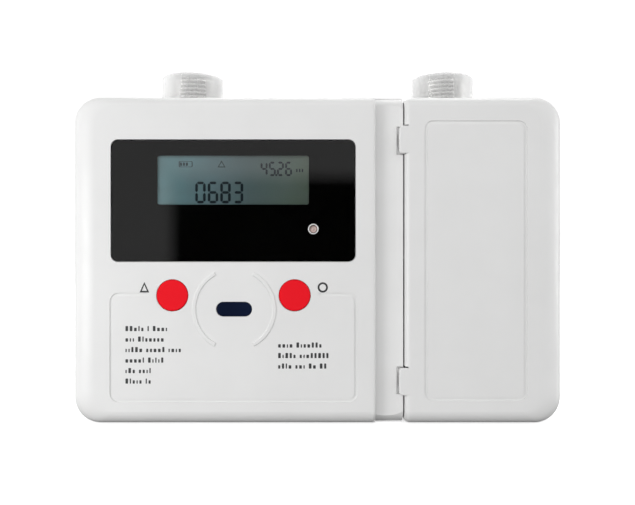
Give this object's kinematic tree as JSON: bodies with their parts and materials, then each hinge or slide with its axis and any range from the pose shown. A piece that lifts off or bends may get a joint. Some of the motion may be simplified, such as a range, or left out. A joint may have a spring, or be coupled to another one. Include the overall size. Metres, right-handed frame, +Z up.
{
  "type": "gas meter",
  "caption": "Flat white gas meter with a black display panel, two red buttons, capped threaded connections on top and a hinged battery door on the right.",
  "frame": {"origin": "middle of the case's base, level with its flat bottom", "axes": "+X to the right as seen from the front, +Y towards the back, +Z up"},
  "size_m": [0.226, 0.088, 0.1692],
  "materials": {
    "case_plastic": "fine satin texture",
    "housing_paint": "satin powder coat",
    "window_clear": "polished clear sheet",
    "mask_black": "printed black",
    "display_glass": "grey green display glass",
    "button_red": "satin red",
    "ir_dark": "dark blue infrared pass plastic",
    "bright_metal": "polished",
    "led_epoxy": "clear epoxy",
    "cap_plastic": "translucent soft plastic",
    "nozzle_metal": "machined",
    "plate_metal": "rolled sheet",
    "screw_steel": "zinc plated",
    "pin_steel": "drawn wire",
    "seal_rubber": "moulded",
    "plug_plastic": "moulded",
    "board_green": "solder mask",
    "chip_black": "epoxy",
    "connector_cream": "moulded",
    "tray_black": "moulded",
    "cell_sleeve": "printed sleeve",
    "brass_parts": "turned",
    "duct_plastic": "moulded"
  },
  "bodies": {
    "meter": {"rear_housing": "housing_paint", "housing_gasket": "seal_rubber", "sealing_plate": "plate_metal", "plate_screws": "screw_steel", "feedthrough": "brass_parts", "pressure_sensor": "screw_steel", "temperature_probe": "screw_steel", "front_cover": "case_plastic", "case_screws": "screw_steel", "seal_plugs": "plug_plastic", "hinge_pins": "pin_steel", "door_gasket": "seal_rubber", "door_catch": "pin_steel", "display_window": "window_clear", "window_mask": "mask_black", "led_collar": "bright_metal", "status_led": "led_epoxy", "lcd_panel": "display_glass", "lcd_holder": "connector_cream", "lcd_pins": "screw_steel", "key_switches": "chip_black", "ir_window": "ir_dark", "ir_emitter": "led_epoxy", "ir_receiver": "chip_black", "probe_ring": "screw_steel", "main_board": "board_green", "board_screws": "screw_steel", "board_chips": "chip_black", "board_connectors": "connector_cream", "supercapacitor": "cell_sleeve", "buzzer": "chip_black", "battery_tray": "tray_black", "battery_cell_1": "cell_sleeve", "battery_cell_2": "cell_sleeve", "battery_cell_3": "cell_sleeve", "battery_cell_4": "cell_sleeve", "battery_contacts": "bright_metal", "radio_board": "board_green", "radio_module": "plate_metal", "sim_card": "brass_parts", "aerial": "brass_parts", "inlet_nozzle": "nozzle_metal", "outlet_nozzle": "nozzle_metal", "nozzle_seals": "seal_rubber", "nozzle_locknuts": "nozzle_metal", "valve_body": "duct_plastic", "valve_motor": "screw_steel", "flow_tube": "duct_plastic", "ultrasonic_transducers": "bright_metal", "flow_straightener": "duct_plastic", "outlet_duct": "duct_plastic", "duct_seals": "seal_rubber"},
    "door": {"battery_door": "case_plastic"},
    "key_a": {"button_a": "button_red"},
    "key_b": {"button_b": "button_red"},
    "left_cap": {"inlet_cap": "cap_plastic"},
    "right_cap": {"outlet_cap": "cap_plastic"},
    "valve_plunger": {"valve_disc": "duct_plastic", "valve_disc_seal": "seal_rubber"},
    "valve_spindle": {"valve_screw": "brass_parts"}
  },
  "joints": [
    {"name": "door_swing", "type": "hinge", "parent": "meter", "child": "door", "pos_m": [0.039, -0.0413, 0.0755], "axis": [0, 0, -1], "range_deg": [0, 105]},
    {"name": "button_a_press", "type": "slide", "parent": "meter", "child": "key_a", "axis": [0, 1, 0], "range_m": [0, 0.0008], "stiffness_N_per_m": 500, "springref_m": -0.002},
    {"name": "button_b_press", "type": "slide", "parent": "meter", "child": "key_b", "axis": [0, 1, 0], "range_m": [0, 0.0008], "stiffness_N_per_m": 500, "springref_m": -0.002},
    {"name": "inlet_cap_lift", "type": "slide", "parent": "meter", "child": "left_cap", "axis": [0, 0, 1], "range_m": [0, 0.03]},
    {"name": "outlet_cap_lift", "type": "slide", "parent": "meter", "child": "right_cap", "axis": [0, 0, 1], "range_m": [0, 0.03]},
    {"name": "valve_disc_lift", "type": "slide", "parent": "meter", "child": "valve_plunger", "axis": [0, 0, 1], "range_m": [0, 0.012]},
    {"name": "valve_screw_turn", "type": "hinge", "parent": "meter", "child": "valve_spindle", "pos_m": [-0.065, 0, 0.11], "axis": [0, 0, 1], "range_deg": [0, 720]}
  ],
  "couplings": [
    {"joint": "valve_screw_turn", "follows": "valve_disc_lift", "rad_per_m": 1047.2}
  ]
}
